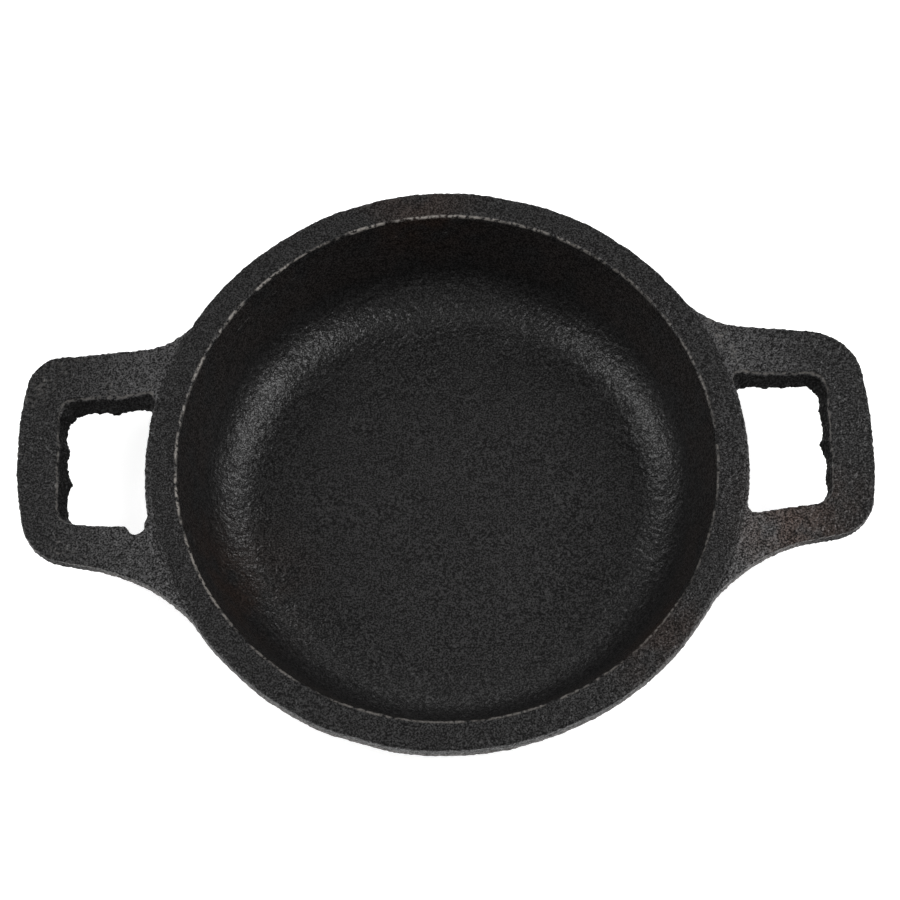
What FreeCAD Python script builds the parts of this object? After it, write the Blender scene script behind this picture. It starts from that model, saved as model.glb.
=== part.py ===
# Two-handled round mini skillet, sand-cast in one piece from grey iron.
# The casting is divided into its five natural regions, which meet face to face:
# base_plate, side_wall, rim_lip, left_handle and right_handle.
# Millimetres and degrees, +Z up, the back of the skillet towards +Y.
# The origin is the middle of the flat base that the skillet rests on.
import FreeCAD, Part
import math
import os
import Sketcher

# One row of the sheet for each driving dimension: alias, value, meaning
DIMENSIONS = [
    ("rimRadius", 63.5, "outer radius of the lip"),
    ("mouthRadius", 57.6, "inner radius at the top of the wall"),
    ("skilletHeight", 30.0, "from the table to the top of the lip"),
    ("lipDepth", 5.0, "height of the thickened lip"),
    ("lipRounding", 0.6, "rounding of the lip's outer top edge"),
    ("mouthRounding", 0.5, "rounding of the lip's inner top edge"),
    ("wallDraft", 14.5, "slope of the wall from vertical"),
    ("wallThickness", 4.1, "thickness of the wall, measured level"),
    ("coveRadius", 12.0, "inside radius between wall and floor"),
    ("footRadius", 9.0, "outside radius between wall and base"),
    ("floorThickness", 4.5, "thickness of the cooking floor"),
    ("handleReach", 91.2, "from the axis to a handle's outer edge"),
    ("rootDrop", 0.6, "where a handle starts, below the top of the lip"),
    ("gripDrop", 1.5, "where a handle levels off, below the top of the lip"),
    ("slopeRun", 9.0, "level length of the slope between the two"),
    ("rootBite", 0.15, "how far a root curve runs into the lip"),
    ("rootOverlap", 3.5, "how far a handle's blank runs into the lip before it is bored"),
    ("holeTaper", 22.0, "slope of the finger hole's sides from vertical"),
    ("stripWidth", 0.9, "metal between the finger hole and the lip"),
    ("rightBow", 104.0, "right handle: radius of the outer edge"),
    ("rightShift", 3.5, "right handle: middle of the outer edge, towards the back"),
    ("rightBack", 35.5, "right handle: axis to the back flank"),
    ("rightBackLean", 6.4, "right handle: slant of the back flank"),
    ("rightBackCorner", 11.5, "right handle: back corner radius"),
    ("rightBackRoot", 19.5, "right handle: back root radius"),
    ("rightFront", 32.2, "right handle: axis to the front flank"),
    ("rightFrontLean", 8.9, "right handle: slant of the front flank"),
    ("rightFrontCorner", 9.5, "right handle: front corner radius"),
    ("rightFrontRoot", 37.5, "right handle: front root radius"),
    ("rightHoleBack", 17.6, "right finger hole: axis to the back edge"),
    ("rightHoleBackLean", 0.0, "right finger hole: slant of the back edge"),
    ("rightHoleFront", 22.6, "right finger hole: axis to the front edge"),
    ("rightHoleFrontLean", 7.0, "right finger hole: slant of the front edge"),
    ("rightHoleReach", 82.2, "right finger hole: axis to the outer edge"),
    ("rightHoleTurn", 3.5, "right finger hole: slant of the outer edge"),
    ("rightHoleCorner", 4.5, "right finger hole: corner radius"),
    ("leftBow", 88.0, "left handle: radius of the outer edge"),
    ("leftShift", 4.3, "left handle: middle of the outer edge, towards the back"),
    ("leftBack", 30.3, "left handle: axis to the back flank"),
    ("leftBackLean", 2.4, "left handle: slant of the back flank"),
    ("leftBackCorner", 7.5, "left handle: back corner radius"),
    ("leftBackRoot", 15.5, "left handle: back root radius"),
    ("leftFront", 37.0, "left handle: axis to the front flank"),
    ("leftFrontLean", 12.4, "left handle: slant of the front flank"),
    ("leftFrontCorner", 11.0, "left handle: front corner radius"),
    ("leftFrontRoot", 40.0, "left handle: front root radius"),
    ("leftHoleBack", 17.6, "left finger hole: axis to the back edge"),
    ("leftHoleBackLean", 0.0, "left finger hole: slant of the back edge"),
    ("leftHoleFront", 18.2, "left finger hole: axis to the front edge"),
    ("leftHoleFrontLean", 4.5, "left finger hole: slant of the front edge"),
    ("leftHoleReach", 83.3, "left finger hole: axis to the outer edge"),
    ("leftHoleTurn", 0.0, "left finger hole: slant of the outer edge"),
    ("leftHoleCorner", 3.8, "left finger hole: corner radius"),
]
START, END, CENTRE = 1, 2, 3       # point numbers of a sketch element
ORIGIN = (-1, 1)                   # the sketch's own origin point
NEAR = 1e-4                        # two lengths closer than this are the same

# Lengths that follow from the sheet's rows.
# Radius of the flat floor: the cove starts where its centre stands over the floor
floorRadius = ("Sizes.mouthRadius - (Sizes.skilletHeight - Sizes.floorThickness - Sizes.coveRadius)"
               " * tan(Sizes.wallDraft * 1 deg) - Sizes.coveRadius / cos(Sizes.wallDraft * 1 deg)")
# Inner radius of the wall at the bottom of the lip
seamRadius = "Sizes.mouthRadius - Sizes.lipDepth * tan(Sizes.wallDraft * 1 deg)"
lipBottom = "Sizes.skilletHeight - Sizes.lipDepth"


# ---- sheet, sketches and features ----

def buildSheet(doc):
    sheet = doc.addObject("Spreadsheet::Sheet", "Sizes")
    for row, (alias, value, meaning) in enumerate(DIMENSIONS, start=1):
        sheet.set("A%d" % row, meaning)
        sheet.set("B%d" % row, str(value))
        sheet.setAlias("B%d" % row, alias)
    doc.recompute()
    return sheet


def addSketch(body, name, role):
    plane = next(item for item in body.Origin.OriginFeatures if item.Role == role)
    sketch = body.newObject("Sketcher::SketchObject", name)
    sketch.AttachmentSupport = [(plane, "")]
    sketch.MapMode = "FlatFace"
    return sketch


def liftSketch(sketch, height):
    sketch.setExpression(".AttachmentOffset.Base.z", height)


def tie(sketch, kind, *points):
    sketch.addConstraint(Sketcher.Constraint(kind, *points))


def size(sketch, name, formula, kind, *parts):
    # A dimension of the sketch that follows a formula of the sheet
    index = sketch.addConstraint(Sketcher.Constraint(kind, *parts))
    sketch.renameConstraint(index, name)
    sketch.setExpression("Constraints." + name, formula)


def addLine(sketch, start, end):
    return sketch.addGeometry(Part.LineSegment(vector(start), vector(end)))


def addArc(sketch, centre, radius, start, end):
    circle = Part.Circle(vector(centre), FreeCAD.Vector(0, 0, 1), radius)
    return sketch.addGeometry(Part.ArcOfCircle(circle, start, end))


def addPolygon(sketch, points):
    lines = [addLine(sketch, points[i], points[(i + 1) % len(points)]) for i in range(len(points))]
    for i, line in enumerate(lines):
        tie(sketch, "Coincident", line, END, lines[(i + 1) % len(lines)], START)
    return lines


def revolve(body, sketch, kind, name):
    feature = body.newObject(kind, name)
    feature.Profile = sketch
    feature.ReferenceAxis = (sketch, ["V_Axis"])
    feature.Angle = 360
    return feature


def filletEdges(body, base, name, radius, wanted):
    # Rounds the edges of base for which wanted(edge) holds
    picked = ["Edge%d" % (i + 1) for i, edge in enumerate(base.Shape.Edges) if wanted(edge)]
    if not picked:
        raise RuntimeError(name + " has no edges")
    fillet = body.newObject("PartDesign::Fillet", name)
    fillet.Base = (base, picked)
    fillet.setExpression("Radius", radius)
    return fillet


# ---- plane geometry for the first guess of each sketch ----

def vector(point):
    return FreeCAD.Vector(point[0], point[1], 0)


def along(base, direction, distance):
    return (base[0] + direction[0] * distance, base[1] + direction[1] * distance)


def bearing(centre, point):
    return math.atan2(point[1] - centre[1], point[0] - centre[0])


def lineOf(lean, distance, side):
    # The line at a distance from the origin, on the +Y (side 1) or -Y (side -1) half,
    # leaning towards the X axis as X grows: its outward normal, its direction, its distance
    angle = math.radians(lean)
    normal = (math.sin(angle), side * math.cos(angle))
    direction = (math.cos(angle), -side * math.sin(angle))
    return normal, direction, distance


def crossing(first, second, inset):
    # Where two lines meet after both are moved inwards
    (n1, _, d1), (n2, _, d2) = first, second
    d1 -= inset
    d2 -= inset
    det = n1[0] * n2[1] - n1[1] * n2[0]
    return ((d1 * n2[1] - d2 * n1[1]) / det, (n1[0] * d2 - n2[0] * d1) / det)


def onCircle(line, inset, centre, radius):
    # The outer of the two places where a line, moved inwards, crosses a circle
    normal, direction, distance = line
    foot = (normal[0] * (distance - inset), normal[1] * (distance - inset))
    gap = (foot[0] - centre[0], foot[1] - centre[1])
    middle = gap[0] * direction[0] + gap[1] * direction[1]
    reach = math.sqrt(middle ** 2 - gap[0] ** 2 - gap[1] ** 2 + radius ** 2)
    return along(foot, direction, reach - middle)


# ---- the sub-parts ----

def makeBasePlate(doc, sheet):
    body = doc.addObject("PartDesign::Body", "base_plate")
    sketch = addSketch(body, "BaseOutline", "XY_Plane")
    guess = sheet.mouthRadius - sheet.coveRadius
    circle = sketch.addGeometry(Part.Circle(vector((0, 0)), FreeCAD.Vector(0, 0, 1), guess))
    tie(sketch, "Coincident", circle, CENTRE, *ORIGIN)
    size(sketch, "floorRadius", floorRadius, "Radius", circle, guess)
    pad = body.newObject("PartDesign::Pad", "BasePad")
    pad.Profile = sketch
    pad.setExpression("Length", "Sizes.floorThickness")
    return body


def makeSideWall(doc, sheet):
    body = doc.addObject("PartDesign::Body", "side_wall")
    sketch = addSketch(body, "WallProfile", "XZ_Plane")
    draft = math.radians(sheet.wallDraft)
    seamHeight = sheet.skilletHeight - sheet.lipDepth
    seamIn = sheet.mouthRadius - sheet.lipDepth * math.tan(draft)
    seamOut = seamIn + sheet.wallThickness
    cove = sheet.coveRadius
    foot = sheet.footRadius
    coveHeight = sheet.floorThickness + cove
    coveAt = seamIn - (seamHeight - coveHeight) * math.tan(draft) - cove / math.cos(draft)
    footAt = seamOut - (seamHeight - foot) * math.tan(draft) - foot / math.cos(draft)
    outward = (math.cos(draft), -math.sin(draft))
    footTop = along((footAt, foot), outward, foot)
    coveTop = along((coveAt, coveHeight), outward, cove)
    base = addLine(sketch, (coveAt, 0), (footAt, 0))
    footArc = addArc(sketch, (footAt, foot), foot, -math.pi / 2, -draft)
    outer = addLine(sketch, footTop, (seamOut, seamHeight))
    seam = addLine(sketch, (seamOut, seamHeight), (seamIn, seamHeight))
    inner = addLine(sketch, (seamIn, seamHeight), coveTop)
    coveArc = addArc(sketch, (coveAt, coveHeight), cove, -math.pi / 2, -draft)
    joint = addLine(sketch, (coveAt, sheet.floorThickness), (coveAt, 0))
    tie(sketch, "Tangent", base, END, footArc, START)
    tie(sketch, "Tangent", footArc, END, outer, START)
    tie(sketch, "Coincident", outer, END, seam, START)
    tie(sketch, "Coincident", seam, END, inner, START)
    tie(sketch, "Tangent", inner, END, coveArc, END)
    tie(sketch, "Coincident", coveArc, START, joint, START)
    tie(sketch, "Coincident", joint, END, base, START)
    tie(sketch, "Horizontal", base)
    tie(sketch, "Horizontal", seam)
    tie(sketch, "Vertical", joint)
    tie(sketch, "Vertical", coveArc, START, coveArc, CENTRE)
    tie(sketch, "PointOnObject", base, START, -1)
    tie(sketch, "Parallel", outer, inner)
    size(sketch, "foot", "Sizes.footRadius", "Radius", footArc, foot)
    size(sketch, "cove", "Sizes.coveRadius", "Radius", coveArc, cove)
    size(sketch, "draft", "(90 - Sizes.wallDraft) * 1 deg", "Angle", outer, math.pi / 2 - draft)
    size(sketch, "thickness", "Sizes.wallThickness", "Distance", seam, sheet.wallThickness)
    size(sketch, "seamHeight", lipBottom, "DistanceY", *ORIGIN, seam, END, seamHeight)
    size(sketch, "seamRadius", seamRadius, "DistanceX", *ORIGIN, seam, END, seamIn)
    size(sketch, "floor", "Sizes.floorThickness", "DistanceY", *ORIGIN, coveArc, START,
         sheet.floorThickness)
    revolve(body, sketch, "PartDesign::Revolution", "WallRing")
    return body


def makeRimLip(doc, sheet):
    body = doc.addObject("PartDesign::Body", "rim_lip")
    sketch = addSketch(body, "LipProfile", "XZ_Plane")
    top = sheet.skilletHeight
    low = top - sheet.lipDepth
    rim = sheet.rimRadius
    mouth = sheet.mouthRadius
    seamIn = mouth - sheet.lipDepth * math.tan(math.radians(sheet.wallDraft))
    corners = [(seamIn, low), (rim, low), (rim, top), (mouth, top)]
    bottom, outer, upper, inner = addPolygon(sketch, corners)
    tie(sketch, "Horizontal", bottom)
    tie(sketch, "Vertical", outer)
    tie(sketch, "Horizontal", upper)
    size(sketch, "lipBottom", lipBottom, "DistanceY", *ORIGIN, bottom, START, low)
    size(sketch, "seamRadius", seamRadius, "DistanceX", *ORIGIN, bottom, START, seamIn)
    size(sketch, "rim", "Sizes.rimRadius", "DistanceX", *ORIGIN, bottom, END, rim)
    size(sketch, "lipTop", "Sizes.skilletHeight", "DistanceY", *ORIGIN, inner, START, top)
    size(sketch, "mouth", "Sizes.mouthRadius", "DistanceX", *ORIGIN, inner, START, mouth)
    ring = revolve(body, sketch, "PartDesign::Revolution", "LipRing")
    doc.recompute()

    def circleAt(radius):
        # Picks the edges on the top circle of that radius
        return lambda edge: (abs(edge.BoundBox.ZMin - top) < NEAR
                             and abs(edge.Curve.Radius - radius) < NEAR)

    outerRound = filletEdges(body, ring, "LipRound", "Sizes.lipRounding", circleAt(rim))
    doc.recompute()
    filletEdges(body, outerRound, "MouthRound", "Sizes.mouthRounding", circleAt(mouth))
    return body


def drawHandleOutline(sketch, sheet, side, halves):
    # Plan of a handle's blank that points along +X. halves names the +Y and the -Y half.
    # Each half has a corner, a flank, a root and an end. A bow joins the corners outside,
    # and an arc inside the lip joins the ends.
    def value(name):
        return getattr(sheet, side + name)

    rim = sheet.rimRadius
    inside = rim - sheet.rootOverlap
    bow = value("Bow")
    shift = value("Shift") if halves[0] == "Back" else -value("Shift")
    bowCentre = (sheet.handleReach - bow, shift)
    spots = []
    for sign, half in zip((1, -1), halves):
        flank = lineOf(value(half + "Lean"), value(half), sign)
        corner = value(half + "Corner")
        root = value(half + "Root")
        cornerAt = onCircle(flank, corner, bowCentre, bow - corner)
        rootAt = onCircle(flank, -root, (0, 0), rim + root - sheet.rootBite)
        heading = bearing((0, 0), rootAt)
        ray = (math.cos(heading), math.sin(heading))
        spots.append({
            "corner": cornerAt, "cornerTip": along(cornerAt, flank[0], corner),
            "root": rootAt, "rootTip": along(rootAt, flank[0], -root),
            "bowAngle": bearing(bowCentre, cornerAt), "heading": heading,
            "endTop": along((0, 0), ray, rim - sheet.rootBite), "endFoot": along((0, 0), ray, inside),
        })
    outer = addArc(sketch, bowCentre, bow, spots[1]["bowAngle"], spots[0]["bowAngle"])
    inner = addArc(sketch, (0, 0), inside, spots[1]["heading"], spots[0]["heading"])
    for sign, half, spot in zip((1, -1), halves, spots):
        corner = value(half + "Corner")
        root = value(half + "Root")
        flank = addLine(sketch, spot["cornerTip"], spot["rootTip"])
        end = addLine(sketch, spot["endTop"], spot["endFoot"])
        turns = (spot["bowAngle"], bearing(spot["corner"], spot["cornerTip"]))
        bends = (bearing(spot["root"], (0, 0)), bearing(spot["root"], spot["rootTip"]))
        cornerArc = addArc(sketch, spot["corner"], corner, *turns[::sign])
        rootArc = addArc(sketch, spot["root"], root, *bends[::sign])
        near, far = (START, END) if sign > 0 else (END, START)
        tie(sketch, "Tangent", outer, far, cornerArc, near)
        tie(sketch, "Tangent", cornerArc, far, flank, START)
        tie(sketch, "Tangent", flank, END, rootArc, far)
        tie(sketch, "Coincident", rootArc, near, end, START)
        tie(sketch, "Coincident", end, END, inner, far)
        tie(sketch, "PointOnObject", *ORIGIN, end)
        tie(sketch, "PointOnObject", rootArc, CENTRE, end)
        lean = value(half + "Lean")
        size(sketch, half + "Flank", "Sizes." + side + half, "Distance", *ORIGIN, flank, value(half))
        size(sketch, half + "Lean", "%d * (180 - Sizes.%s%sLean) * 1 deg" % (sign, side, half),
             "Angle", flank, sign * math.radians(180 - lean))
        size(sketch, half + "Corner", "Sizes.%s%sCorner" % (side, half), "Radius", cornerArc, corner)
        size(sketch, half + "Root", "Sizes.%s%sRoot" % (side, half), "Radius", rootArc, root)
        size(sketch, half + "Bite",
             "Sizes.rimRadius + Sizes.%s%sRoot - Sizes.rootBite" % (side, half),
             "Distance", *ORIGIN, rootArc, CENTRE, rim + root - sheet.rootBite)
    tie(sketch, "Coincident", inner, CENTRE, *ORIGIN)
    size(sketch, "inside", "Sizes.rimRadius - Sizes.rootOverlap", "Radius", inner, inside)
    size(sketch, "bow", "Sizes.%sBow" % side, "Radius", outer, bow)
    ends = (*ORIGIN, outer, CENTRE) if halves[0] == "Back" else (outer, CENTRE, *ORIGIN)
    size(sketch, "shift", "Sizes.%sShift" % side, "DistanceY", *ends, value("Shift"))
    size(sketch, "bowCentre", "Sizes.%sBow - Sizes.handleReach" % side, "DistanceX",
         outer, CENTRE, *ORIGIN, bow - sheet.handleReach)


def drawHoleOutline(sketch, sheet, side, halves):
    # Plan of the finger hole at the level of the handle's root: an arc beside the lip,
    # an edge on the +Y and on the -Y half, and an outer edge with rounded corners.
    def value(name):
        return getattr(sheet, side + "Hole" + name)

    inner = sheet.rimRadius + sheet.stripWidth
    corner = value("Corner")
    turn = math.radians(value("Turn"))
    tilt = turn if halves[0] == "Back" else -turn
    outerLine = ((math.cos(tilt), -math.sin(tilt)), None, value("Reach"))
    arcEnds = []
    corners = []
    edges = []
    for sign, half in zip((1, -1), halves):
        line = lineOf(value(half + "Lean"), value(half), sign)
        start = onCircle(line, 0, (0, 0), inner)
        centre = crossing(line, outerLine, corner)
        tip = along(centre, line[0], corner)
        edges.append(addLine(sketch, start, tip))
        angles = (math.atan2(outerLine[0][1], outerLine[0][0]), math.atan2(line[0][1], line[0][0]))
        corners.append(addArc(sketch, centre, corner, *angles[::sign]))
        arcEnds.append(math.atan2(start[1], start[0]))
    lip = addArc(sketch, (0, 0), inner, arcEnds[1], arcEnds[0])
    points = [along(sketch.Geometry[index].Center, outerLine[0], corner) for index in corners]
    outer = addLine(sketch, points[1], points[0])
    for sign, half, edge, cornerArc in zip((1, -1), halves, edges, corners):
        near, far = (START, END) if sign > 0 else (END, START)
        tie(sketch, "Coincident", edge, START, lip, far)
        tie(sketch, "Tangent", edge, END, cornerArc, far)
        tie(sketch, "Tangent", cornerArc, near, outer, far)
        lean = value(half + "Lean")
        size(sketch, half + "Edge", "Sizes.%sHole%s" % (side, half), "Distance", *ORIGIN, edge,
             value(half))
        size(sketch, half + "Lean", "%d * Sizes.%sHole%sLean * 1 deg" % (-sign, side, half),
             "Angle", edge, -sign * math.radians(lean))
        size(sketch, half + "Corner", "Sizes.%sHoleCorner" % side, "Radius", cornerArc, corner)
    tie(sketch, "Coincident", lip, CENTRE, *ORIGIN)
    size(sketch, "lip", "Sizes.rimRadius + Sizes.stripWidth", "Radius", lip, inner)
    size(sketch, "reach", "Sizes.%sHoleReach" % side, "Distance", *ORIGIN, outer, value("Reach"))
    sign = -1 if halves[0] == "Back" else 1
    size(sketch, "turn", "(90 + %d * Sizes.%sHoleTurn) * 1 deg" % (sign, side),
         "Angle", outer, math.pi / 2 + sign * turn)


def drawSlopeProfile(sketch, sheet):
    # What is taken off the top: a cone that starts inside the lip, passes the root and
    # ends at the level of the grip, and all that is above that level further out
    start = sheet.rimRadius - sheet.rootOverlap
    foot = sheet.rimRadius + sheet.slopeRun
    far = sheet.handleReach + sheet.slopeRun
    top = sheet.skilletHeight
    grip = top - sheet.gripDrop
    fall = (sheet.gripDrop - sheet.rootDrop) / sheet.slopeRun
    high = grip + fall * (foot - start)
    corners = [(start, high), (foot, grip), (far, grip), (far, top), (start, top)]
    slope, flat, edge, upper, back = addPolygon(sketch, corners)
    tie(sketch, "Horizontal", flat)
    tie(sketch, "Vertical", edge)
    tie(sketch, "Horizontal", upper)
    tie(sketch, "Vertical", back)
    size(sketch, "begin", "Sizes.rimRadius - Sizes.rootOverlap", "DistanceX", *ORIGIN, slope, START,
         start)
    size(sketch, "rise", "(Sizes.gripDrop - Sizes.rootDrop) / Sizes.slopeRun"
         " * (Sizes.slopeRun + Sizes.rootOverlap)", "DistanceY", slope, END, slope, START, high - grip)
    size(sketch, "foot", "Sizes.rimRadius + Sizes.slopeRun", "DistanceX", *ORIGIN, slope, END, foot)
    size(sketch, "grip", "Sizes.skilletHeight - Sizes.gripDrop", "DistanceY", *ORIGIN, slope, END,
         grip)
    size(sketch, "far", "Sizes.handleReach + Sizes.slopeRun", "DistanceX", *ORIGIN, edge, START, far)
    size(sketch, "top", "Sizes.skilletHeight", "DistanceY", *ORIGIN, edge, END, top)


def addPocket(body, before, sketch, name, taper=None):
    # A cut from the sketch downwards, deeper than the handle
    pocket = body.newObject("PartDesign::Pocket", name)
    pocket.Profile = sketch
    pocket.setExpression("Length", "Sizes.skilletHeight")
    if taper:
        pocket.setExpression("Length", "Sizes.lipDepth")
        pocket.setExpression("TaperAngle", taper)
    body.Document.recompute()
    requireLoss(before, pocket)
    return pocket


def makeHandle(doc, sheet, side, halves, turned):
    # A flat loop handle, drawn along +X and turned about the axis to its own side
    body = doc.addObject("PartDesign::Body", side + "_handle")
    title = side.capitalize()
    outline = addSketch(body, title + "Outline", "XY_Plane")
    liftSketch(outline, lipBottom)
    drawHandleOutline(outline, sheet, side, halves)
    pad = body.newObject("PartDesign::Pad", title + "Pad")
    pad.Profile = outline
    pad.setExpression("Length", "Sizes.lipDepth")
    doc.recompute()
    profile = addSketch(body, title + "SlopeProfile", "XZ_Plane")
    drawSlopeProfile(profile, sheet)
    groove = revolve(body, profile, "PartDesign::Groove", title + "Slope")
    doc.recompute()
    requireLoss(pad, groove)
    lip = addSketch(body, title + "LipOutline", "XY_Plane")
    liftSketch(lip, "Sizes.skilletHeight")
    circle = lip.addGeometry(Part.Circle(vector((0, 0)), FreeCAD.Vector(0, 0, 1), sheet.rimRadius))
    tie(lip, "Coincident", circle, CENTRE, *ORIGIN)
    size(lip, "rim", "Sizes.rimRadius", "Radius", circle, sheet.rimRadius)
    bored = addPocket(body, groove, lip, title + "Bore")
    hole = addSketch(body, title + "HoleOutline", "XY_Plane")
    liftSketch(hole, "Sizes.skilletHeight - Sizes.rootDrop")
    drawHoleOutline(hole, sheet, side, halves)
    addPocket(body, bored, hole, title + "Hole", "-Sizes.holeTaper * 1 deg")
    upright = FreeCAD.Vector(0, 0, 1)
    body.Placement = FreeCAD.Placement(FreeCAD.Vector(), FreeCAD.Rotation(upright, turned))
    return body


# ---- checks and files ----

def requireLoss(before, after):
    if after.Shape.Volume >= before.Shape.Volume - 1:
        raise RuntimeError(after.Name + " cuts nothing")


def checkDocument(doc, bodies):
    for item in doc.Objects:
        if "Invalid" in item.State or "Error" in item.State:
            raise RuntimeError(item.Name + " failed: " + str(item.State))
    for body in bodies:
        if body.Shape.isNull() or not body.Shape.isValid() or len(body.Shape.Solids) != 1:
            raise RuntimeError(body.Label + " is not one valid solid")


def writeParts(bodies):
    os.makedirs("parts", exist_ok=True)
    for body in bodies:
        body.Shape.exportStep("parts/%s.step" % body.Label)
        print(body.Label, "volume %.0f mm3" % body.Shape.Volume, body.Shape.BoundBox)


def build():
    doc = FreeCAD.newDocument("mini_skillet")
    sheet = buildSheet(doc)
    bodies = [
        makeBasePlate(doc, sheet),
        makeSideWall(doc, sheet),
        makeRimLip(doc, sheet),
        makeHandle(doc, sheet, "right", ("Back", "Front"), 0),
        makeHandle(doc, sheet, "left", ("Front", "Back"), 180),
    ]
    doc.recompute()
    checkDocument(doc, bodies)
    writeParts(bodies)


build()
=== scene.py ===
import bpy
import math
from mathutils import Matrix, Vector


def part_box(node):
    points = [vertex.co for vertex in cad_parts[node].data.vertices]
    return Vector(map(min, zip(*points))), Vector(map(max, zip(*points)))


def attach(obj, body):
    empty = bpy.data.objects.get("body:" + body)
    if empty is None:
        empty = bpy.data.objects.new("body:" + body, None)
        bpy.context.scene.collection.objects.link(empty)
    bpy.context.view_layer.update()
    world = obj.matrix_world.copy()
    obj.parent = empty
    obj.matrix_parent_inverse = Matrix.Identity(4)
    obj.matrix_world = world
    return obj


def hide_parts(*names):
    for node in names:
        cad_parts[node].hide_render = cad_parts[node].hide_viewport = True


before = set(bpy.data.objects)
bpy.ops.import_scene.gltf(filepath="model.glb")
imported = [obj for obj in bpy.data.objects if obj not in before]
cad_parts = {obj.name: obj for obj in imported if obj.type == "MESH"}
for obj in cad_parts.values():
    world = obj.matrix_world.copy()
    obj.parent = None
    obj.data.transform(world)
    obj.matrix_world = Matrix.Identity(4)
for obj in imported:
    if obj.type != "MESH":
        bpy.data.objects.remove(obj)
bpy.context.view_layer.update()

mm = 0.001

lipLow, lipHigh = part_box("rim_lip")

# the casting's main levels and radii, most of them read from the frame
casting = {
    "rim": lipHigh.x + 0.25 * mm,
    "top": lipHigh.z - 0.08 * mm,
    "base": 0.2 * mm,                       # the rough underside stands on its high spots
    "seam": lipLow.z,                       # where the lip meets the wall
    "floor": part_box("base_plate")[1].z,
    "mouth": 57.6 * mm,
    "draft": math.radians(14.5),
    "wallLevel": 4.1 * mm,                  # wall thickness, measured level
    "cove": 12 * mm,
    "foot": 9 * mm,
    "turns": 720,                           # steps round the axis
}


# small helpers for work in edit mode

def deselectAll():
    if bpy.context.object and bpy.context.object.mode != "OBJECT":
        bpy.ops.object.mode_set(mode="OBJECT")
    bpy.ops.object.select_all(action="DESELECT")


def activate(piece):
    deselectAll()
    piece.select_set(True)
    bpy.context.view_layer.objects.active = piece


def applyModifier(piece, name, kind, **settings):
    activate(piece)
    modifier = piece.modifiers.new(name, kind)
    for key, value in settings.items():
        setattr(modifier, key, value)
    bpy.ops.object.modifier_apply(modifier=modifier.name)


def startPath(name, point):
    # a plane merged to one vertex, moved to the path's first point; stays in edit mode
    deselectAll()
    bpy.ops.mesh.primitive_plane_add(size=mm, location=(0, 0, 0))
    piece = bpy.context.object
    piece.name = name
    piece.data.name = name
    bpy.ops.object.mode_set(mode="EDIT")
    bpy.ops.mesh.select_all(action="SELECT")
    bpy.ops.mesh.merge(type="CENTER")
    bpy.ops.transform.translate(value=point)
    return piece


def lineBy(offset, step):
    # extrudes the end of the path along a straight line, in equal steps
    offset = Vector(offset)
    count = max(1, round(offset.length / step))
    for _ in range(count):
        bpy.ops.mesh.extrude_vertices_move(TRANSFORM_OT_translate={"value": offset / count})


def arcBy(centre, angle, radius, step, axis=(0, 0, 1)):
    # spins the end of the path about a centre, anticlockwise about the axis when angle > 0
    count = max(2, round(abs(angle) * radius / step))
    bpy.ops.mesh.spin(steps=count, angle=-angle, center=centre, axis=axis)


weld = 0.02 * mm                            # points closer than this become one
planWeld = 0.05 * mm
spinWeld = 0.005 * mm


def closePath(tolerance=weld):
    bpy.ops.mesh.select_all(action="SELECT")
    bpy.ops.mesh.remove_doubles(threshold=tolerance)


def pointOutwards():
    bpy.ops.mesh.select_all(action="SELECT")
    bpy.ops.mesh.normals_make_consistent(inside=False)
    bpy.ops.object.mode_set(mode="OBJECT")


def revolveProfile(turns):
    bpy.ops.mesh.select_all(action="SELECT")
    bpy.ops.mesh.spin(steps=turns, angle=2 * math.pi, center=(0, 0, 0), axis=(0, 0, 1))
    closePath(spinWeld)
    pointOutwards()


# the sand-cast skin: the same field of small moves runs through every piece
skin = {
    "warp": {"size": 17 * mm, "move": 0.7 * mm, "depth": 1},
    "lumps": {"size": 2.2 * mm, "move": 0.16 * mm, "depth": 2},
    "grain": {"size": 0.75 * mm, "move": 0.42 * mm, "depth": 1},
    "ragged": {"size": 2.4 * mm, "move": 1.5 * mm, "depth": 1},
}
# how much of it each place gets: bands as (where it starts, how far it takes to change)
calm = {"least": 0.3, "band": (1 * mm, 3 * mm)}
grainShare = {
    "outside": 0.9, "floor": 0.4, "coveAdds": 0.6, "wallTakes": 0.1,
    "wallBand": (11 * mm, 5 * mm), "coveBand": (36 * mm, 6 * mm), "edge": 1 * mm,
}
sharpest = math.radians(70)                 # edges sharper than this stay sharp


def skinTexture(name):
    texture = bpy.data.textures.new(name, "CLOUDS")
    texture.cloud_type = "COLOR"
    texture.noise_scale = skin[name]["size"]
    texture.noise_depth = skin[name]["depth"]
    return texture


skinTextures = {name: skinTexture(name) for name in skin}


def weighVertices(piece, name, weightAt):
    group = piece.vertex_groups.new(name=name)
    for vertex in piece.data.vertices:
        group.add([vertex.index], weightAt(vertex.co), "REPLACE")
    return group.name


def share(value, band, least=0):
    start, width = band
    return min(1, max(least, (value - start) / width))


def calmAt(place):
    # the underside is flatter than the rest
    return share(place.z, calm["band"], calm["least"])


def grainAt(place):
    # coarse in the cove, on the lip and on the handles, finer on the floor, smoothest on the wall
    g = grainShare
    radius = math.hypot(place.x, place.y)
    if radius > casting["mouth"] + g["edge"] or place.z > casting["top"] - g["edge"]:
        return g["outside"] * calmAt(place)
    onWall = share(place.z, g["wallBand"])
    inCove = share(radius, g["coveBand"])
    inside = g["floor"] + g["coveAdds"] * inCove * (1 - onWall) - g["wallTakes"] * onWall
    return inside * calmAt(place)


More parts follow.
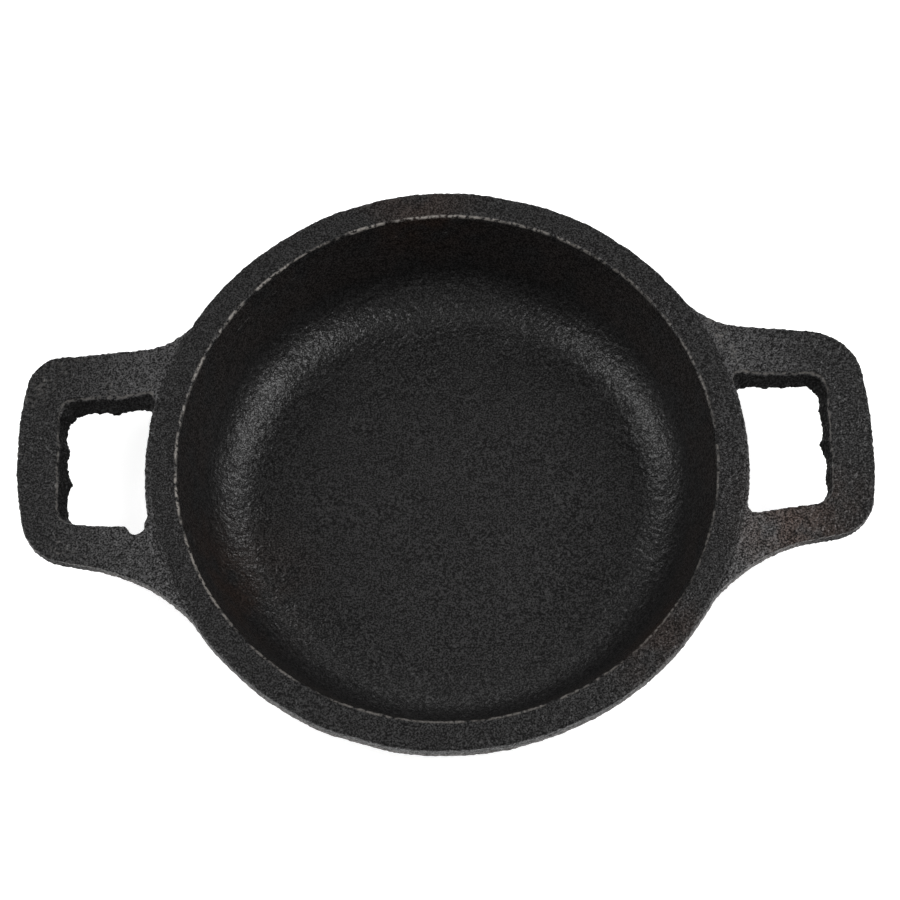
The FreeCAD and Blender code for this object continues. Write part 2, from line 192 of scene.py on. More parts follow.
def roughen(piece):
    # warps, lumps and grains the skin by amounts that depend on the place only
    weights = {"calm": weighVertices(piece, "calm", calmAt),
               "grain": weighVertices(piece, "grain", grainAt)}
    for name, group in (("warp", "calm"), ("lumps", "calm"), ("grain", "grain")):
        applyModifier(piece, name, "DISPLACE", texture=skinTextures[name], texture_coords="LOCAL",
                      direction="RGB_TO_XYZ", strength=skin[name]["move"], mid_level=0.5,
                      vertex_group=weights[group])
    activate(piece)
    bpy.ops.object.shade_smooth_by_angle(angle=sharpest)


def bowlGeometry():
    # where the inner and outer wall run into the cove and the foot, as (radius, height)
    c = casting
    slope = math.tan(c["draft"])
    lean = Vector((math.cos(c["draft"]), -math.sin(c["draft"])))
    seamIn = c["mouth"] - (lipHigh.z - c["seam"]) * slope
    seamOut = seamIn + c["wallLevel"]
    coveUp = c["floor"] + c["cove"]
    coveIn = seamIn - (c["seam"] - coveUp) * slope - c["cove"] / math.cos(c["draft"])
    footUp = c["base"] + c["foot"]
    footIn = seamOut - (c["seam"] - footUp) * slope - c["foot"] / math.cos(c["draft"])
    coveTip = Vector((coveIn, coveUp)) + lean * c["cove"]
    footTip = Vector((footIn, footUp)) + lean * c["foot"]
    return {"seamIn": seamIn, "seamOut": seamOut, "coveIn": coveIn, "coveUp": coveUp,
            "footIn": footIn, "footUp": footUp, "coveTip": coveTip, "footTip": footTip}


bowl = bowlGeometry()

floorCasting = {"node": "base_plate", "cells": 180}


def makeFloor():
    deselectAll()
    bpy.ops.mesh.primitive_circle_add(vertices=casting["turns"], radius=bowl["coveIn"],
                                      fill_type="NOTHING", location=(0, 0, 0))
    piece = bpy.context.object
    piece.name = "cooking_floor"
    bpy.ops.object.mode_set(mode="EDIT")
    bpy.ops.mesh.select_all(action="SELECT")
    bpy.ops.mesh.fill_grid(span=floorCasting["cells"], offset=0)
    bpy.ops.mesh.select_all(action="SELECT")
    bpy.ops.transform.translate(value=(0, 0, casting["base"]))
    bpy.ops.mesh.extrude_region_move(
        TRANSFORM_OT_translate={"value": (0, 0, casting["floor"] - casting["base"])})
    pointOutwards()
    return piece


wallCasting = {"node": "side_wall", "inside": 0.42 * mm, "outside": 0.62 * mm, "hidden": 4 * mm}


def makeWall():
    b, c, w = bowl, casting, wallCasting
    sweep = math.pi / 2 - c["draft"]
    piece = startPath("wall_and_cove", (b["coveIn"], 0, c["floor"]))
    about = (0, 1, 0)
    arcBy((b["coveIn"], 0, b["coveUp"]), -sweep, c["cove"], w["inside"], about)
    lineBy((b["seamIn"] - b["coveTip"].x, 0, c["seam"] - b["coveTip"].y), w["inside"])
    lineBy((c["wallLevel"], 0, 0), w["hidden"])
    lineBy((b["footTip"].x - b["seamOut"], 0, b["footTip"].y - c["seam"]), w["outside"])
    arcBy((b["footIn"], 0, b["footUp"]), sweep, c["foot"], w["outside"], about)
    lineBy((b["coveIn"] - b["footIn"], 0, 0), w["outside"])
    lineBy((0, 0, c["floor"] - c["base"]), w["hidden"])
    closePath()
    revolveProfile(c["turns"])
    return piece


lipCasting = {"node": "rim_lip", "inside": 0.4 * mm, "outside": 0.38 * mm, "hidden": 4 * mm,
              "mouthRound": 0.6 * mm, "lipRound": 0.65 * mm, "underRound": 0.5 * mm,
              "lean": math.radians(1), "arcStep": 0.25 * mm}


def makeLip():
    b, c, p = bowl, casting, lipCasting
    about = (0, 1, 0)
    piece = startPath("lip", (b["seamIn"], 0, c["seam"]))
    # inner face, up to the rounding of the mouth
    turn = math.pi / 2 - c["draft"]
    back = p["mouthRound"] * math.tan(turn / 2)
    mouthAt = c["mouth"] - (lipHigh.z - c["top"]) * math.tan(c["draft"])
    corner = Vector((mouthAt, c["top"]))
    start = Vector((b["seamIn"], c["seam"]))
    rise = corner - start
    end = corner - rise.normalized() * back
    lineBy((end.x - start.x, 0, end.y - start.y), p["inside"])
    arcBy((corner.x + back, 0, c["top"] - p["mouthRound"]), turn, p["mouthRound"],
          p["arcStep"], about)
    # top face, outer rounding, outer face and underside
    side = c["rim"] - (c["top"] - c["seam"]) * math.tan(p["lean"])
    sideTurn = math.pi / 2 - p["lean"]
    inset = p["lipRound"] * math.tan(sideTurn / 2)
    lineBy((side - inset - corner.x - back, 0, 0), p["outside"])
    arcBy((side - inset, 0, c["top"] - p["lipRound"]), sideTurn, p["lipRound"],
          p["arcStep"], about)
    fall = Vector((c["rim"] - side, c["seam"] - c["top"])).normalized()
    underTurn = math.pi / 2 + p["lean"]
    underInset = p["underRound"] * math.tan(underTurn / 2)
    upper = Vector((side, c["top"])) + fall * inset
    lower = Vector((c["rim"], c["seam"])) - fall * underInset
    lineBy((lower.x - upper.x, 0, lower.y - upper.y), p["outside"])
    arcBy((c["rim"] - underInset, 0, c["seam"] + p["underRound"]), underTurn, p["underRound"],
          p["arcStep"], about)
    lineBy((b["seamOut"] - c["rim"] + underInset, 0, 0), p["outside"])
    lineBy((-c["wallLevel"], 0, 0), p["hidden"])
    closePath()
    revolveProfile(c["turns"])
    return piece


# what both loop handles share
handleBlank = {
    # the top face as (radius, drop below the lip's top)
    "falls": [(60 * mm, 0.1 * mm), (62.8 * mm, 0.25 * mm), (64.6 * mm, 0.65 * mm),
              (72.5 * mm, 1.5 * mm), (100 * mm, 1.5 * mm)],
    "overlap": 1.1 * mm,                    # how far a handle runs into the lip
    "bite": 0.15 * mm,                      # how far its curves end inside the lip's edge
    "strip": 0.9 * mm,                      # iron left between the lip and the finger hole
    "step": 0.7 * mm,
    "long": 90 * mm,                        # longer than any straight run of the slope
    "clear": 5 * mm,                        # how far the slope's cutter stands above it
    "slopeTurns": 360,
    "upperEdge": 1 * mm,                    # the hole's upper outline, below the lip's top
    "lowerEdge": 1 * mm,                    # its lower one, below the handle
    "above": 3 * mm,                        # how far the hole's cutter goes on upwards
    "cell": 0.25 * mm,
    "rounding": {"rounds": 7, "factor": 0.5, "least": 0.2, "from": 0.6 * mm, "full": 2 * mm},
}
rightHandle = {
    "node": "right_handle", "turned": False, "beyond": 0.1 * mm,
    "bow": 104 * mm, "shift": 3.5 * mm,
    "flanks": [  # +Y half, then -Y half, before the handle is turned to its side
        {"from": 35.7 * mm, "lean": 6.4, "corner": 11.5 * mm, "root": 19.5 * mm},
        {"from": 32.5 * mm, "lean": 8.9, "corner": 9.5 * mm, "root": 37.5 * mm},
    ],
    "hole": {"edges": [(18.0 * mm, 0), (22.5 * mm, 7)], "reach": 82.5 * mm, "turn": 3.5,
             "corner": 4.5 * mm, "nearLip": 1.6 * mm},
    "holeBelow": {"edges": [(14.3 * mm, 0), (21.8 * mm, 7)], "reach": 80.5 * mm, "turn": 0.5,
                  "corner": 3.6 * mm, "nearLip": 1.6 * mm},
    "notches": [],
}
leftHandle = {
    "node": "left_handle", "turned": True, "beyond": 0.7 * mm,
    "bow": 88 * mm, "shift": -4.3 * mm,
    "flanks": [
        {"from": 36.9 * mm, "lean": 12.4, "corner": 11.0 * mm, "root": 40.0 * mm},
        {"from": 31.0 * mm, "lean": 2.6, "corner": 7.5 * mm, "root": 15.5 * mm},
    ],
    "hole": {"edges": [(18.0 * mm, 4.5), (18.1 * mm, 0)], "reach": 83.7 * mm, "turn": 0,
             "corner": 3.8 * mm, "nearLip": 2.2 * mm},
    "holeBelow": {"edges": [(17.4 * mm, 4.5), (22.2 * mm, 6.7)], "reach": 80.3 * mm, "turn": -2,
                  "corner": 3.0 * mm, "nearLip": 1.6 * mm},
    "notches": [{"at": (66.0 * mm, 12.8 * mm), "radius": 1.9 * mm, "deep": 20 * mm, "sides": 32}],
}


def flankLine(distance, lean, side):
    # a line at a distance from the axis that leans towards the X axis: normal, direction, distance
    angle = math.radians(lean)
    normal = Vector((math.sin(angle), side * math.cos(angle)))
    return normal, Vector((math.cos(angle), -side * math.sin(angle))), distance


def onCircle(line, inset, centre, radius):
    # the outer of the two places where a line, moved inwards, crosses a circle
    normal, direction, distance = line
    foot = normal * (distance - inset)
    gap = foot - centre
    middle = gap.dot(direction)
    return foot + direction * (math.sqrt(middle ** 2 - gap.length_squared + radius ** 2) - middle)


def crossing(first, second, inset):
    (n1, _, d1), (n2, _, d2) = first, second
    det = n1.x * n2.y - n1.y * n2.x
    d1, d2 = d1 - inset, d2 - inset
    return Vector(((d1 * n2.y - d2 * n1.y) / det, (n1.x * d2 - n2.x * d1) / det))


def bearing(centre, point):
    return math.atan2(point.y - centre.y, point.x - centre.x)


class Pen:
    # follows a plan at one level with straight lines and arcs
    def __init__(self, name, start, level, step):
        self.here = start
        self.level = level
        self.step = step
        self.piece = startPath(name, (start.x, start.y, level))

    def line(self, point):
        lineBy((point.x - self.here.x, point.y - self.here.y, 0), self.step)
        self.here = point

    def arc(self, centre, point, way):
        # way is 1 anticlockwise and -1 clockwise, seen from above
        sweep = way * (bearing(centre, point) - bearing(centre, self.here)) % (2 * math.pi)
        arcBy((centre.x, centre.y, self.level), way * sweep, (point - centre).length, self.step)
        self.here = point


def raisePlan(height):
    # closes and fills the plan, then extrudes it straight up
    closePath(planWeld)
    bpy.ops.mesh.select_all(action="SELECT")
    bpy.ops.mesh.edge_face_add()
    bpy.ops.mesh.extrude_region_move(TRANSFORM_OT_translate={"value": (0, 0, height)})


def cutWith(piece, cutter):
    applyModifier(piece, cutter.name, "BOOLEAN", operation="DIFFERENCE", object=cutter,
                  solver="EXACT")
    bpy.data.objects.remove(cutter, do_unlink=True)


def drawHandle(name, plan):
    # the blank's plan, anticlockwise from the -Y root round to the +Y root, closed inside the lip
    blank = handleBlank
    rim = lipHigh.x
    axis = Vector((0, 0))
    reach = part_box("right_handle")[1].x + plan["beyond"]
    bowAt = Vector((reach - plan["bow"], plan["shift"]))
    spots = []
    for side, flank in zip((1, -1), plan["flanks"]):
        line = flankLine(flank["from"], flank["lean"], side)
        corner = onCircle(line, flank["corner"], bowAt, plan["bow"] - flank["corner"])
        root = onCircle(line, -flank["root"], axis, rim + flank["root"] - blank["bite"])
        ray = root.normalized()
        spots.append({
            "corner": corner, "cornerTip": corner + line[0] * flank["corner"],
            "bowTip": corner + (corner - bowAt).normalized() * flank["corner"],
            "root": root, "rootTip": root - line[0] * flank["root"],
            "end": ray * (rim - blank["bite"]), "inside": ray * (rim - blank["overlap"]),
        })
    up, down = spots
    pen = Pen(name, down["inside"], casting["seam"], blank["step"])
    pen.line(down["end"])
    pen.arc(down["root"], down["rootTip"], -1)
    pen.line(down["cornerTip"])
    pen.arc(down["corner"], down["bowTip"], 1)
    pen.arc(bowAt, up["bowTip"], 1)
    pen.arc(up["corner"], up["cornerTip"], 1)
    pen.line(up["rootTip"])
    pen.arc(up["root"], up["end"], -1)
    pen.line(up["inside"])
    pen.arc(axis, down["inside"], -1)
    raisePlan(lipHigh.z - casting["seam"])
    pointOutwards()
    return pen.piece


def slopeCutter():
    # a turned ring above the handle: it falls from the lip's rounding and levels off at the grip
    blank = handleBlank
    (start, top), rest = blank["falls"][0], blank["falls"][1:]
    cutter = startPath("slope_cutter", (start, 0, lipHigh.z - top))
    here = (start, top)
    for radius, drop in rest:
        lineBy((radius - here[0], 0, here[1] - drop), blank["long"])
        here = (radius, drop)
    lineBy((0, 0, blank["clear"]), blank["long"])
    lineBy((start - here[0], 0, 0), blank["long"])
    lineBy((0, 0, here[1] - top - blank["clear"]), blank["long"])
    closePath(planWeld)
    revolveProfile(blank["slopeTurns"])
    return cutter


def drawHole(name, hole, level):
    # one outline of the finger hole, anticlockwise, with rounded corners beside the lip as well
    axis = Vector((0, 0))
    inner = lipHigh.x + handleBlank["strip"]
    turn = math.radians(hole["turn"])
    outer = (Vector((math.cos(turn), -math.sin(turn))), None, hole["reach"])
    spots = []
    for side, (distance, lean) in zip((1, -1), hole["edges"]):
        line = flankLine(distance, lean, side)
        centre = crossing(line, outer, hole["corner"])
        near = onCircle(line, hole["nearLip"], axis, inner + hole["nearLip"])
        spots.append({"near": near, "lipTip": near.normalized() * inner,
                      "start": near + line[0] * hole["nearLip"],
                      "centre": centre, "tip": centre + line[0] * hole["corner"],
                      "outerTip": centre + outer[0] * hole["corner"]})
    up, down = spots
    pen = Pen(name, down["lipTip"], level, handleBlank["step"])
    pen.arc(down["near"], down["start"], 1)
    pen.line(down["tip"])
    pen.arc(down["centre"], down["outerTip"], 1)
    pen.line(up["outerTip"])
    pen.arc(up["centre"], up["tip"], 1)
    pen.line(up["start"])
    pen.arc(up["near"], up["lipTip"], 1)
    pen.arc(axis, down["lipTip"], -1)
    closePath(planWeld)
    bpy.ops.object.mode_set(mode="OBJECT")
    return pen.piece


def holeCutter(plan):
    # the drafted finger hole between an upper and a ragged lower outline
    upperLevel = lipHigh.z - handleBlank["upperEdge"]
    lowerLevel = casting["seam"] - handleBlank["lowerEdge"]
    cutter = drawHole("hole_cutter", plan["hole"], upperLevel)
    lower = drawHole("hole_lower", plan["holeBelow"], lowerLevel)
    group = weighVertices(lower, "ragged", lambda place: 1)
    applyModifier(lower, "ragged", "DISPLACE", texture=skinTextures["ragged"], mid_level=0.5,
                  texture_coords="LOCAL", direction="RGB_TO_XYZ", strength=skin["ragged"]["move"],
                  vertex_group=group)
    activate(cutter)
    lower.select_set(True)
    bpy.ops.object.join()
    bpy.ops.object.mode_set(mode="EDIT")
    bpy.ops.mesh.select_all(action="SELECT")
    bpy.ops.mesh.bridge_edge_loops()
    bpy.ops.mesh.select_all(action="DESELECT")
    bpy.ops.object.mode_set(mode="OBJECT")
    for vertex in cutter.data.vertices:
        vertex.select = vertex.co.z > (upperLevel + lowerLevel) / 2
    bpy.ops.object.mode_set(mode="EDIT")
    bpy.ops.mesh.select_mode(type="VERT")
    bpy.ops.mesh.extrude_region_move(
        TRANSFORM_OT_translate={"value": (0, 0, handleBlank["above"])})
    bpy.ops.mesh.select_all(action="SELECT")
    bpy.ops.mesh.fill_holes(sides=0)
    pointOutwards()
    return cutter


def notchCutter(notch):
    # a small nick where the hole's edge meets the lip
    deselectAll()
    bpy.ops.mesh.primitive_cylinder_add(vertices=notch["sides"], radius=notch["radius"],
                                        depth=notch["deep"], location=(0, 0, 0))
    cutter = bpy.context.object
    cutter.name = "notch_cutter"
    bpy.ops.object.mode_set(mode="EDIT")
    bpy.ops.mesh.select_all(action="SELECT")
    bpy.ops.transform.translate(value=(notch["at"][0], notch["at"][1], casting["seam"]))
    bpy.ops.object.mode_set(mode="OBJECT")
    return cutter


def makeHandle(name, plan):
    blank = handleBlank
    piece = drawHandle(name, plan)
    cutWith(piece, slopeCutter())
    cutWith(piece, holeCutter(plan))
    for notch in plan["notches"]:
        cutWith(piece, notchCutter(notch))
    if plan["turned"]:
        activate(piece)
        bpy.ops.object.mode_set(mode="EDIT")
        bpy.ops.mesh.select_all(action="SELECT")
        bpy.ops.transform.rotate(value=math.pi, orient_axis="Z", center_override=(0, 0, 0))
        bpy.ops.object.mode_set(mode="OBJECT")
    applyModifier(piece, "skin", "REMESH", mode="VOXEL", voxel_size=blank["cell"])
    # the top edges are rounded most, the underside's least
    r = blank["rounding"]
    low, high = casting["seam"] + r["from"], casting["seam"] + r["full"]
    group = weighVertices(piece, "rounding",
                          lambda place: share(place.z, (low, high - low), r["least"]))
    applyModifier(piece, "rounding", "SMOOTH", factor=r["factor"], iterations=r["rounds"],
                  vertex_group=group)
    activate(piece)
    bpy.ops.object.mode_set(mode="EDIT")
    pointOutwards()
    return piece


def finishPiece(piece, node, material):
    piece.data.materials.clear()
    piece.data.materials.append(material)
    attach(piece, "root")
    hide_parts(node)


def addNode(tree, kind, settings=None, **sockets):
    # adds a node; a socket is either linked to another node's output or given a value
    node = tree.nodes.new("ShaderNode" + kind)
    for key, value in (settings or {}).items():
        setattr(node, key, value)
    for key, value in sockets.items():
        byNumber = key[1:].isdigit()
        socket = node.inputs[int(key[1:]) if byNumber else key.replace("_", " ")]
        if isinstance(value, bpy.types.NodeSocket):
            tree.links.new(value, socket)
        else:
            socket.default_value = value
    return node


class Shading:
    # a few arithmetic steps for the casting's material
    def __init__(self, tree):
        self.tree = tree
        coordinates = addNode(tree, "TexCoord")
        self.place = coordinates.outputs["Object"]
        self.upward = addNode(tree, "SeparateXYZ", i0=coordinates.outputs["Normal"]).outputs[2]
        flat = addNode(tree, "VectorMath", {"operation": "MULTIPLY"}, i0=self.place, i1=(1, 1, 0))
        length = addNode(tree, "VectorMath", {"operation": "LENGTH"}, i0=flat.outputs[0])
        self.radius = length.outputs["Value"]
        self.x, self.y, self.z = addNode(tree, "SeparateXYZ", i0=self.place).outputs

    def noise(self, size, detail=2, rough=0.5):
        node = addNode(self.tree, "TexNoise", Vector=self.place, Scale=1 / size, Detail=detail,
                       Roughness=rough)
        return node.outputs[0]

    def ramp(self, value, start, end, low=0, high=1):
        # low before start, high after end, smooth between; start may be the larger
        node = addNode(self.tree, "MapRange", {"interpolation_type": "SMOOTHSTEP"}, Value=value)
        if start > end:
            start, end, low, high = end, start, high, low
        numbers = {"From Min": start, "From Max": end, "To Min": low, "To Max": high}
        for name, number in numbers.items():
            node.inputs[name].default_value = number
        return node.outputs[0]

    def math(self, kind, first, second):
        return addNode(self.tree, "Math", {"operation": kind}, i0=first, i1=second).outputs[0]

    def times(self, *values):
        total = values[0]
        for value in values[1:]:
            total = self.math("MULTIPLY", total, value)
        return total

    def plus(self, first, second):
        return self.math("ADD", first, second)

    def near(self, point, inner, outer):
        # 1 within inner of a point, 0 beyond outer
        gap = addNode(self.tree, "VectorMath", {"operation": "DISTANCE"}, i0=self.place, i1=point)
        return self.ramp(gap.outputs["Value"], outer, inner)

    def around(self, value, middle, inner, outer):
        # 1 where a value is close to middle
        gap = self.math("ABSOLUTE", self.math("SUBTRACT", value, middle), 0)
        return self.ramp(gap, outer, inner)

    def mix(self, amount, first, second, blend="MIX"):
        settings = {"data_type": "RGBA", "blend_type": blend}
        node = addNode(self.tree, "Mix", settings, i0=amount, i6=first, i7=second)
        return node.outputs[2]


look = {
    # the grain's dark pits are partly painted shade in the sand's hollows
    "pit": (0.0035, 0.0034, 0.0034, 1),
    "iron": (0.0190, 0.0185, 0.0187, 1),
    # painted light for the arms' slope beside the lip
    "litArm": (0.060, 0.059, 0.060, 1),
    "brown": (1.62, 1.10, 0.88, 1),         # multiplies the colour beneath
    "bare": (0.05, 0.043, 0.038, 1),
    # painted highlight for the handles' rounded top edge
    "edge": (0.10, 0.094, 0.088, 1),
    # worn inner edge of the mouth, with a painted highlight
    "wornHighlight": (0.21, 0.195, 0.18, 1),
    "roughness": {"ridge": 0.38, "pit": 0.52, "cove": -0.10},
    "specular": {"ridge": 0.42, "pit": 0.08, "cove": 0.08, "holeShade": 0.3},
    "sand": {"size": 0.38 * mm, "rough": 0.6, "relief": 0.4},
    "lumps": {"size": 1.05 * mm, "share": 0.2},
    "grit": {"size": 0.65 * mm, "relief": 0.65},
    "ridges": (0.36, 0.70),                 # where pits turn into ridges
    "relief": {"height": 0.26 * mm, "onWall": 0.45},
    "patches": {"size": 7 * mm, "band": (0.3, 0.6), "onWall": 0.25},
    "tints": [  # browner places as (x, y, z), reach and strength
        ((-4 * mm, 61 * mm, 30 * mm), 18 * mm, 0.9), ((76 * mm, -18 * mm, 29 * mm), 22 * mm, 0.9),
        ((44 * mm, -42 * mm, 30 * mm), 18 * mm, 0.8), ((-46 * mm, -20 * mm, 9 * mm), 24 * mm, 0.8),
    ],
    # below, a band runs from where an effect is absent to where it is full
    "wall": {"height": (12 * mm, 16 * mm), "radius": (57.6 * mm, 57.2 * mm)},
    # where the arms' painted light starts and fades, and where it is dimmed
    "litArmBand": {"start": (63.6 * mm, 64.4 * mm), "fade": (89 * mm, 66 * mm),
                "lessLitArm": (-67 * mm, -24 * mm, 29 * mm), "core": 2 * mm, "reach": 14 * mm, "by": 0.72},
    "handle": {"start": (63.8 * mm, 64.2 * mm), "slope": (64.6 * mm, 72.5 * mm),
               "tops": (29.35 * mm, 28.5 * mm), "sides": (20 * mm, 23 * mm),
               "end": (86.5 * mm, 88 * mm), "flank": (0, 0.8), "facing": (-0.8, -0.5)},
    # a painted highlight along the handles' top edge
    "topEdge": {"depth": 0.45 * mm, "core": 0.1 * mm, "reach": 0.35 * mm, "band": (0.35, 0.6),
                "strength": 0.8},
    # painted shade on the finger holes' walls
    "holeWallShade": {"depth": (0.6 * mm, 1.1 * mm), "strength": 0.85},
    "lowIron": {"height": (28 * mm, 26.2 * mm), "radius": (61.5 * mm, 62.5 * mm),
                "band": (0.3, 0.6)},
    # the mouth's worn edge and its painted highlight, strongest towards the back left
    "mouth": {"radius": 57.7 * mm, "core": 0.05 * mm, "reach": 0.45 * mm,
              "height": (29.1 * mm, 29.5 * mm), "fine": (0.8 * mm, 0.37, 0.57),
              "coarse": (4 * mm, 0.36, 0.5), "towards": (-0.8, 0.6),
              "side": (-10 * mm, 45 * mm), "least": 0.42},
    "cove": {"radius": (36 * mm, 50 * mm), "height": (20 * mm, 10 * mm)},
}


def brownTint(s, onWall):
    # brown patches on the wall and at a few places
    patches = look["patches"]
    tint = s.times(onWall, patches["onWall"])
    for point, reach, strength in look["tints"]:
        tint = s.plus(tint, s.times(s.near(point, 0, reach), strength))
    return s.times(s.ramp(s.noise(patches["size"], 3), *patches["band"]), tint)


def wornMouthHighlight(s):
    # the worn inner edge of the mouth, broken up along its length; also a painted highlight, strongest
    # towards the back left
    m = look["mouth"]
    edge = s.times(s.around(s.radius, m["radius"], m["core"], m["reach"]),
                   s.ramp(s.z, *m["height"]))
    broken = 1
    for size, start, end in (m["fine"], m["coarse"]):
        broken = s.times(s.ramp(s.noise(size, 2), start, end), broken)
    along = s.plus(s.times(s.x, m["towards"][0]), s.times(s.y, m["towards"][1]))
    return s.times(edge, broken, s.ramp(along, *m["side"], m["least"], 1))


def seasonedIron():
    material = bpy.data.materials.new("seasonedIron")
    material.use_nodes = True
    tree = material.node_tree
    bsdf = tree.nodes["Principled BSDF"]
    s = Shading(tree)
    sand = s.noise(look["sand"]["size"], 2, look["sand"]["rough"])
    lumps = s.noise(look["lumps"]["size"], 2)
    mixed = s.plus(sand, s.times(s.plus(lumps, -0.5), look["lumps"]["share"]))
    ridge = s.ramp(mixed, *look["ridges"])
    onWall = s.times(s.ramp(s.z, *look["wall"]["height"]),
                     s.ramp(s.radius, *look["wall"]["radius"]))
    # near-black seasoning with pale ridges; painted light on the arms beside the lip, where their
    # slope faces the soft boxes, with less of it at the left front root
    # the dark pits stand partly for the shade in the sand's hollows
    colour = s.mix(ridge, look["pit"], look["iron"])
    litArm = look["litArmBand"]
    lessLitArm = s.ramp(s.near(litArm["lessLitArm"], litArm["core"], litArm["reach"]), 0, 1, 1, litArm["by"])
    armLight = s.times(s.ramp(s.radius, *litArm["start"]), s.ramp(s.radius, *litArm["fade"]), lessLitArm)
    colour = s.mix(s.times(armLight, ridge), colour, look["litArm"])
    colour = s.mix(brownTint(s, onWall), colour, look["brown"], "MULTIPLY")
    # handles: a painted highlight along the rounded top edge, broken up like wear; painted shade on
    # the hole walls; barer iron low down on the outside
    handle, topEdge, lowIron = look["handle"], look["topEdge"], look["lowIron"]
    depth = s.math("SUBTRACT", s.ramp(s.radius, *handle["slope"], *handle["tops"]), s.z)
    onHandle = s.ramp(s.radius, *handle["start"])
    edgeHighlight = s.times(s.around(depth, topEdge["depth"], topEdge["core"], topEdge["reach"]),
                     onHandle, s.ramp(lumps, *topEdge["band"]))
    colour = s.mix(s.times(edgeHighlight, topEdge["strength"]), colour, look["edge"])
    outer = s.plus(s.ramp(s.math("ABSOLUTE", s.y, 0), *handle["sides"]),
                   s.ramp(s.math("ABSOLUTE", s.x, 0), *handle["end"]))
    flank = s.ramp(outer, *handle["flank"])
    notUnder = s.ramp(s.upward, *handle["facing"])
    # painted shade on the hole walls, also dimming their shine
    below = s.times(s.ramp(depth, *look["holeWallShade"]["depth"]), onHandle, notUnder)
    holeShade = s.times(below, s.math("SUBTRACT", 1, flank))
    colour = s.mix(s.times(holeShade, look["holeWallShade"]["strength"]), colour, look["pit"])
    low = s.times(s.ramp(s.z, *lowIron["height"]), s.ramp(s.radius, *lowIron["radius"]),
                  flank, notUnder)
    colour = s.mix(s.times(low, s.ramp(lumps, *lowIron["band"])), colour, look["bare"])
    colour = s.mix(wornMouthHighlight(s), colour, look["wornHighlight"])
    tree.links.new(colour, bsdf.inputs["Base Color"])
    # the cove is a little shinier, the hole walls are dull
    rough, shine = look["roughness"], look["specular"]
    inCove = s.times(s.ramp(s.radius, *look["cove"]["radius"]),
                     s.ramp(s.z, *look["cove"]["height"]))
    roughness = s.plus(s.ramp(ridge, 0, 1, rough["pit"], rough["ridge"]),
                       s.times(inCove, rough["cove"]))
    tree.links.new(roughness, bsdf.inputs["Roughness"])
    specular = s.plus(s.ramp(ridge, 0, 1, shine["pit"], shine["ridge"]),
                      s.times(inCove, shine["cove"]))
    specular = s.times(specular, s.ramp(holeShade, 0, 1, 1, shine["holeShade"]))
    tree.links.new(specular, bsdf.inputs["Specular IOR Level"])
    # fine relief, softer on the wall
    height = s.plus(s.times(sand, look["sand"]["relief"]),
                    s.times(s.noise(look["grit"]["size"], 2), look["grit"]["relief"]))
    bump = addNode(tree, "Bump", Height=height, Distance=look["relief"]["height"],
                   Strength=s.ramp(onWall, 0, 1, 1, look["relief"]["onWall"]))
    tree.links.new(bump.outputs[0], bsdf.inputs["Normal"])
    return material


iron = seasonedIron()
print("finish ready:", iron.name)
makers = (
    (makeFloor, floorCasting), (makeWall, wallCasting), (makeLip, lipCasting),
    (lambda: makeHandle("handle_right", rightHandle), rightHandle),
    (lambda: makeHandle("handle_left", leftHandle), leftHandle),
)
for make, plan in makers:
    piece = make()
    roughen(piece)
    finishPiece(piece, plan["node"], iron)
    print("made", piece.name, len(piece.data.polygons), "faces")

print("all pieces made")

# angles in degrees; distance and aim are in lip radii
view = {"elevation": 68.56, "azimuth": 0.29, "distance": 7.0, "aim": (0.013, 0.0242),
        "roll": -2.06, "sensor": 36, "lens": 83.6164}


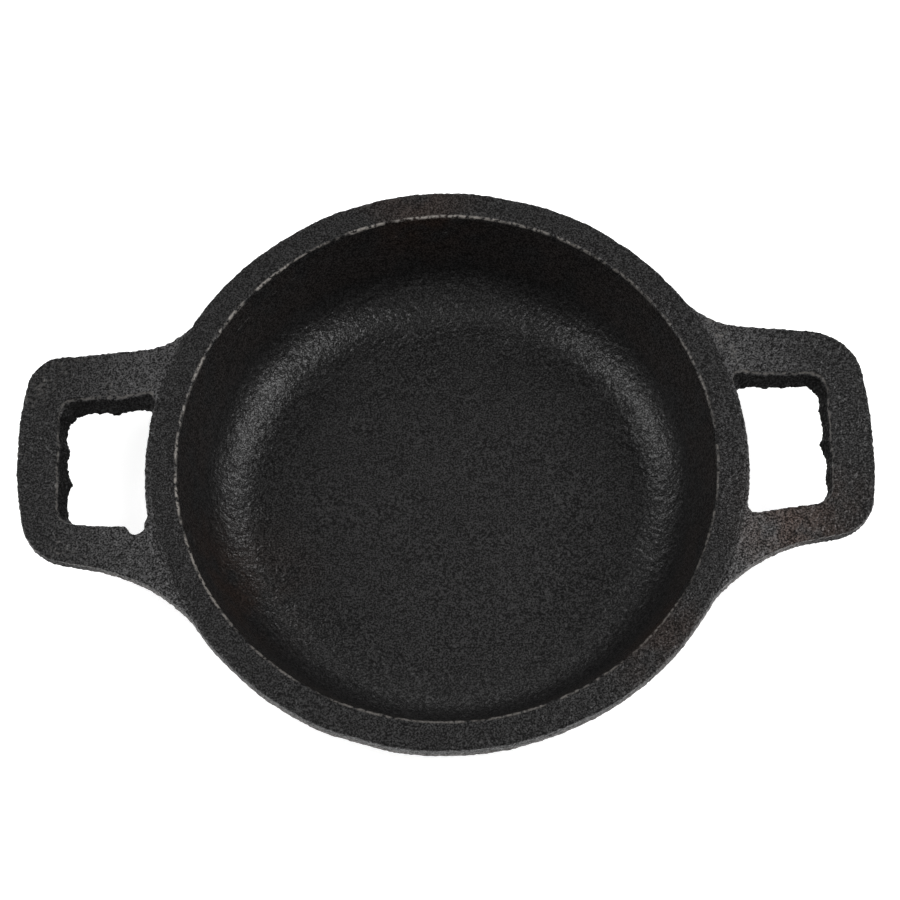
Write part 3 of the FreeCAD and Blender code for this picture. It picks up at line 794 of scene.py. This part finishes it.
def addCamera():
    rim = lipHigh.x
    elevation = math.radians(view["elevation"])
    azimuth = math.radians(view["azimuth"])
    centre = Vector((0, 0, lipHigh.z))
    away = Vector((math.sin(azimuth) * math.cos(elevation),
                   -math.cos(azimuth) * math.cos(elevation), math.sin(elevation)))
    place = centre + away * view["distance"] * rim
    aim = centre + Vector((view["aim"][0], view["aim"][1], 0)) * rim
    data = bpy.data.cameras.new("camera")
    camera = bpy.data.objects.new("camera", data)
    bpy.context.collection.objects.link(camera)
    facing = (aim - place).to_track_quat("-Z", "Y").to_matrix().to_4x4()
    roll = Matrix.Rotation(math.radians(view["roll"]), 4, "Z")
    camera.matrix_world = Matrix.Translation(place) @ facing @ roll
    data.sensor_width = view["sensor"]
    data.lens = view["lens"]
    bpy.context.scene.camera = camera


paleTable = {"width": 24, "colour": (0.9, 0.9, 0.9, 1), "roughness": 0.9, "glow": 0.5}


def addTable():
    deselectAll()
    bpy.ops.mesh.primitive_plane_add(size=paleTable["width"], location=(0, 0, 0))
    table = bpy.context.object
    table.name = "table"
    material = bpy.data.materials.new("paleTable")
    material.use_nodes = True
    bsdf = material.node_tree.nodes["Principled BSDF"]
    bsdf.inputs["Base Color"].default_value = paleTable["colour"]
    bsdf.inputs["Roughness"].default_value = paleTable["roughness"]
    bsdf.inputs["Emission Color"].default_value = (1, 1, 1, 1)
    bsdf.inputs["Emission Strength"].default_value = paleTable["glow"]
    table.data.materials.append(material)


# soft boxes as (azimuth, elevation, power), all aimed at the middle of the table
studio = {
    "distance": 0.9, "width": 0.5, "surroundings": 0.02,
    "boxes": {
        "leftLow": (180, 25, 3.5), "leftHigh": (180, 50, 3.8), "rightLow": (0, 25, 3.0),
        "rightHigh": (0, 50, 5.5), "behind": (90, 30, 1.7), "front": (270, 30, 0.9),
    },
}


def addSoftBox(name, azimuth, elevation, power):
    data = bpy.data.lights.new(name, "AREA")
    data.shape = "RECTANGLE"
    data.size = data.size_y = studio["width"]
    data.energy = power
    light = bpy.data.objects.new(name, data)
    bpy.context.collection.objects.link(light)
    a, e = math.radians(azimuth), math.radians(elevation)
    direction = Vector((math.cos(a) * math.cos(e), math.sin(a) * math.cos(e), math.sin(e)))
    light.location = direction * studio["distance"]
    light.rotation_euler = (-light.location).to_track_quat("-Z", "Y").to_euler()


def addSurroundings():
    world = bpy.data.worlds.new("studio")
    world.use_nodes = True
    background = world.node_tree.nodes["Background"]
    background.inputs["Color"].default_value = (1, 1, 1, 1)
    background.inputs["Strength"].default_value = studio["surroundings"]
    bpy.context.scene.world = world
    bpy.context.scene.view_settings.view_transform = "Standard"


addTable()
for name, (azimuth, elevation, power) in studio["boxes"].items():
    addSoftBox(name, azimuth, elevation, power)
addSurroundings()
print("table and lights placed")
addCamera()
print("camera placed")
